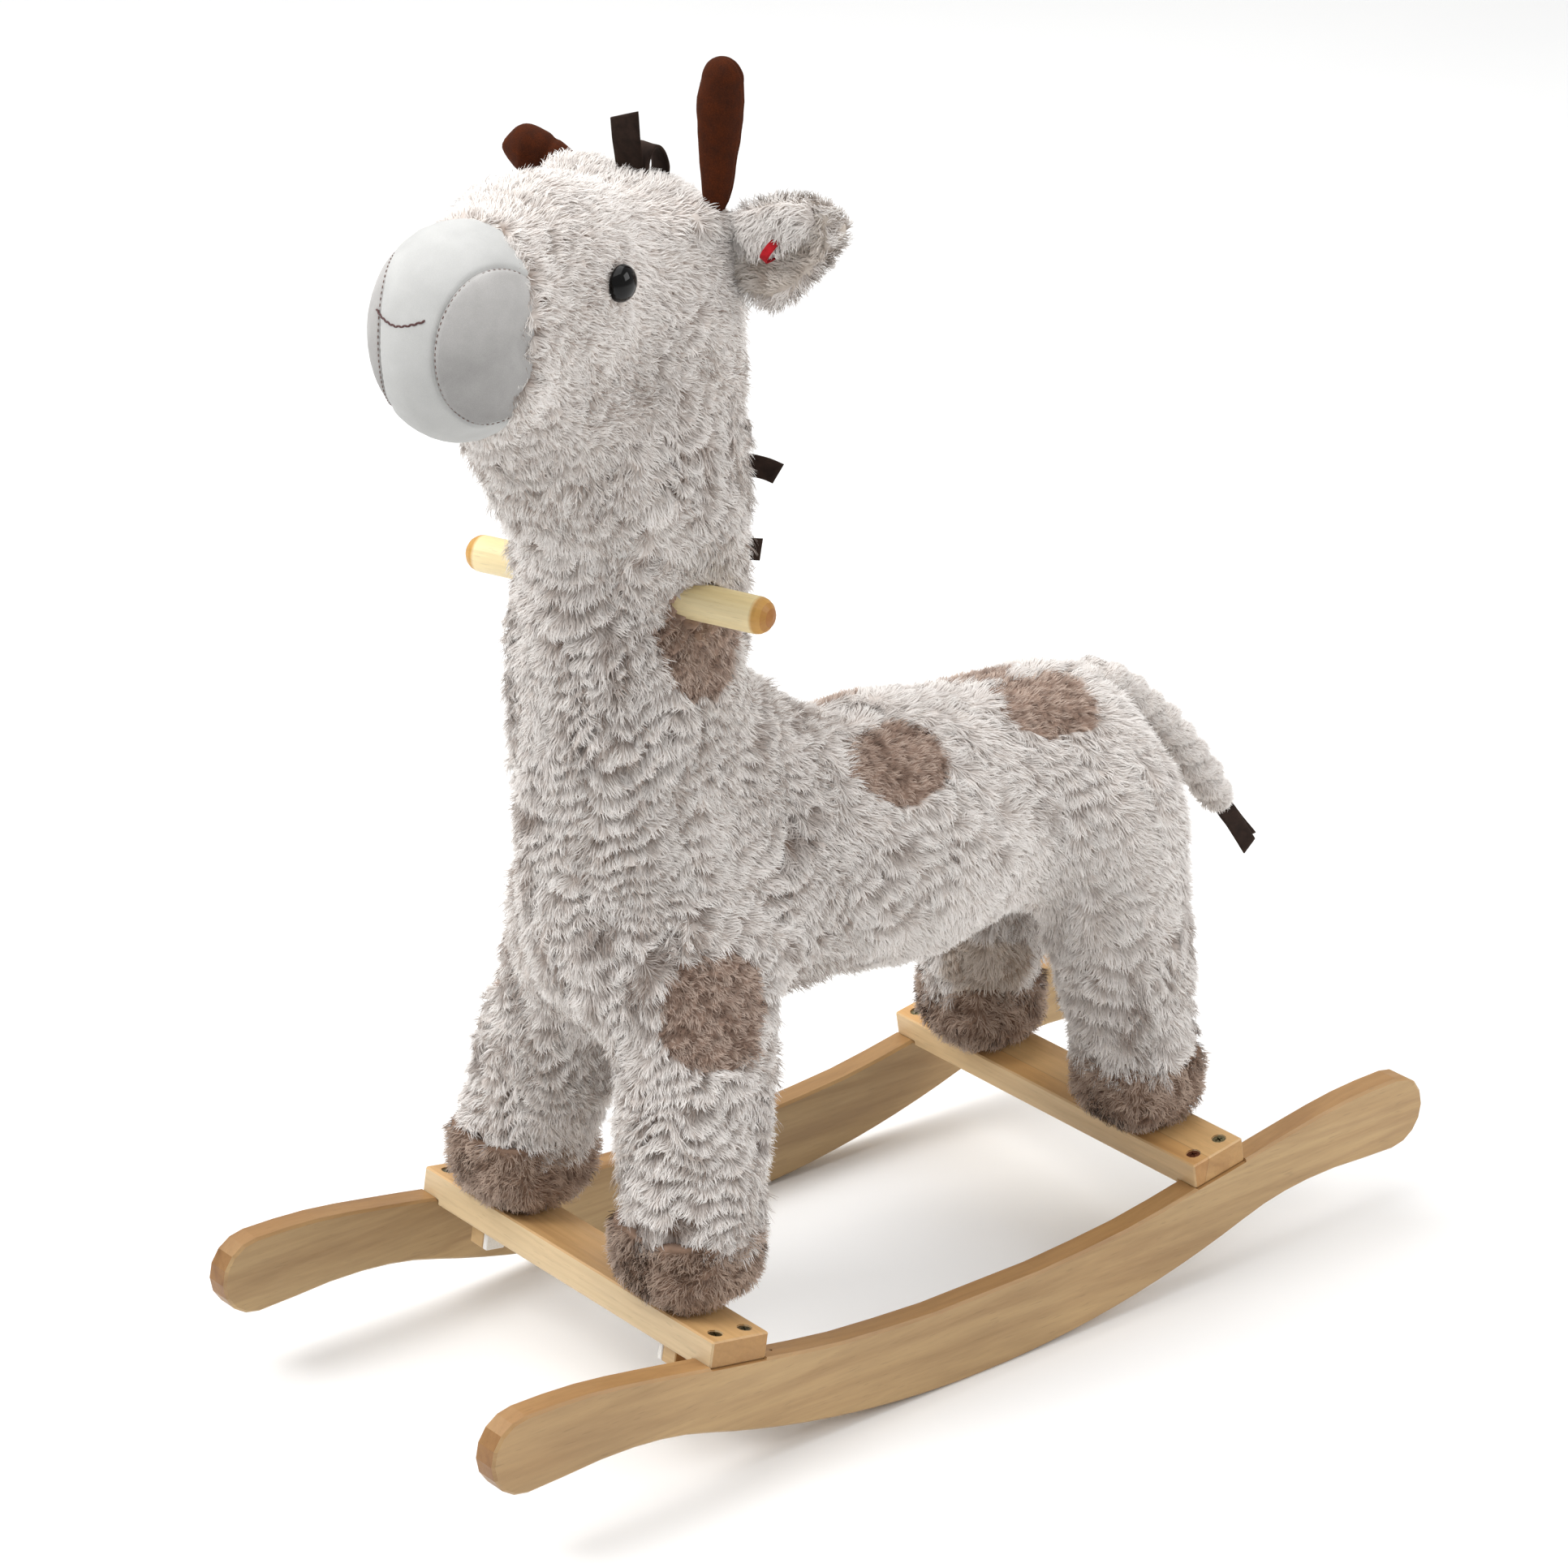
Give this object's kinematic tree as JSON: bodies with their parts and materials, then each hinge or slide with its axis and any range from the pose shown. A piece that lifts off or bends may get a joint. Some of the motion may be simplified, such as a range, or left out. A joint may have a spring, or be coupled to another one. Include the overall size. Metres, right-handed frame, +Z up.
{
  "type": "plush rocking animal",
  "caption": "Plush rocking giraffe: cream tufted fur with taupe spots over a wooden frame, a grip bar through the neck, standing on curved wooden rockers joined by crossbars.",
  "frame": {"origin": "on the floor under the middle of the rockers' overall box", "axes": "+X to the animal's left side, -Y forwards to the head, +Z up"},
  "size_m": [0.294, 0.742, 0.8153],
  "materials": {
    "birch": "satin",
    "frame_wood": "matte",
    "fur_cream": "matte",
    "fur_taupe": "matte",
    "velour_white": "matte",
    "velour_grey": "matte",
    "velour_brown": "matte",
    "felt_dark": "matte",
    "thread_brown": "matte",
    "tag_red": "matte",
    "screw_brass": "satin",
    "screw_copper": "satin",
    "screw_steel": "satin",
    "eye_black": "gloss",
    "washer_white": "matte",
    "cap_white": "matte"
  },
  "bodies": {
    "frame": {"rocker_left": "birch", "rocker_right": "birch", "crossbar_front": "birch", "crossbar_rear": "birch", "screw_front_left_outer": "screw_brass", "screw_front_left_inner": "screw_brass", "screw_front_right_outer": "screw_brass", "screw_front_right_inner": "screw_brass", "screw_rear_left_outer": "screw_brass", "screw_rear_left_inner": "screw_copper", "screw_rear_right_outer": "screw_brass", "screw_rear_right_inner": "screw_brass", "leg_post_front_left": "frame_wood", "leg_screw_front_left": "screw_steel", "leg_post_front_right": "frame_wood", "leg_screw_front_right": "screw_steel", "leg_post_rear_left": "frame_wood", "leg_screw_rear_left": "screw_steel", "leg_post_rear_right": "frame_wood", "leg_screw_rear_right": "screw_steel", "body_board": "frame_wood", "seat_core": "frame_wood", "neck_post": "frame_wood", "neck_screw_1": "screw_steel", "neck_screw_2": "screw_steel", "handle_screw": "screw_steel", "handle_bar": "birch", "corner_block_left": "birch", "block_cap_left": "cap_white", "corner_block_right": "birch", "block_cap_right": "cap_white", "body_plush": "fur_cream", "neck_plush": "fur_cream", "head_plush": "fur_cream", "leg_plush_front_left": "fur_cream", "hoof_front_left": "fur_taupe", "leg_plush_front_right": "fur_cream", "hoof_front_right": "fur_taupe", "leg_plush_rear_left": "fur_cream", "hoof_rear_left": "fur_taupe", "leg_plush_rear_right": "fur_cream", "hoof_rear_right": "fur_taupe", "muzzle_centre": "velour_white", "muzzle_side_left": "velour_grey", "muzzle_side_right": "velour_grey", "eye_left": "eye_black", "eye_washer_left": "washer_white", "eye_right": "eye_black", "eye_washer_right": "washer_white", "mouth_stitch": "thread_brown", "forelock_ribbons": "felt_dark", "mane_ribbon_upper": "felt_dark", "mane_ribbon_lower": "felt_dark"},
    "ear_left": {"ear_left": "fur_cream", "ear_tag": "tag_red"},
    "ear_right": {"ear_right": "fur_cream"},
    "horn_left": {"horn_left": "velour_brown"},
    "horn_right": {"horn_right": "velour_brown"},
    "tail": {"tail_braid": "fur_cream", "tail_tuft": "felt_dark"}
  },
  "joints": [
    {"name": "ear_left_flop", "type": "hinge", "parent": "frame", "child": "ear_left", "pos_m": [0.0543, -0.11504, 0.718], "axis": [-0.3256, 0.9455, 0], "range_deg": [-20, 25], "stiffness_Nm_per_rad": 0.12},
    {"name": "ear_right_flop", "type": "hinge", "parent": "frame", "child": "ear_right", "pos_m": [-0.06862, -0.15736, 0.718], "axis": [0.3256, -0.9455, 0], "range_deg": [-20, 25], "stiffness_Nm_per_rad": 0.12},
    {"name": "horn_left_bend", "type": "hinge", "parent": "frame", "child": "horn_left", "pos_m": [0.04842, -0.12869, 0.748], "axis": [-0.3256, 0.9455, 0], "range_deg": [-15, 15], "stiffness_Nm_per_rad": 0.12},
    {"name": "horn_right_bend", "type": "hinge", "parent": "frame", "child": "horn_right", "pos_m": [-0.05558, -0.16451, 0.748], "axis": [0.3256, -0.9455, 0], "range_deg": [-15, 15], "stiffness_Nm_per_rad": 0.12},
    {"name": "tail_swing", "type": "hinge", "parent": "frame", "child": "tail", "pos_m": [0, 0.223, 0.358], "axis": [1, 0, 0], "range_deg": [-8, 25], "stiffness_Nm_per_rad": 0.3}
  ]
}
